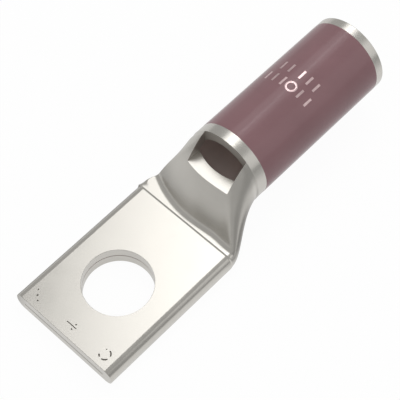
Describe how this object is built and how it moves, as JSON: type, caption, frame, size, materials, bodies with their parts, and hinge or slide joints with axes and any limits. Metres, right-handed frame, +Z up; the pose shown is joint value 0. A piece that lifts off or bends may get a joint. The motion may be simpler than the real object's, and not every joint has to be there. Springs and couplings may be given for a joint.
{
  "type": "cable lug",
  "caption": "Tin-plated copper cable lug with a round crimp barrel, a brown colour band, an inspection window and a flat tongue with a stud hole.",
  "frame": {"origin": "on the stud hole's axis, at the underside of the tongue", "axes": "+X along the lug, from the stud hole towards the cable mouth; +Z up, out of the tongue's top face; +Y across the tongue"},
  "size_m": [0.0506, 0.0156, 0.0123],
  "materials": {
    "tin_plate": "satin tin plate over copper, with a brown painted band round the barrel"
  },
  "bodies": {
    "root": {"cable_lug": "tin_plate"}
  },
  "joints": []
}
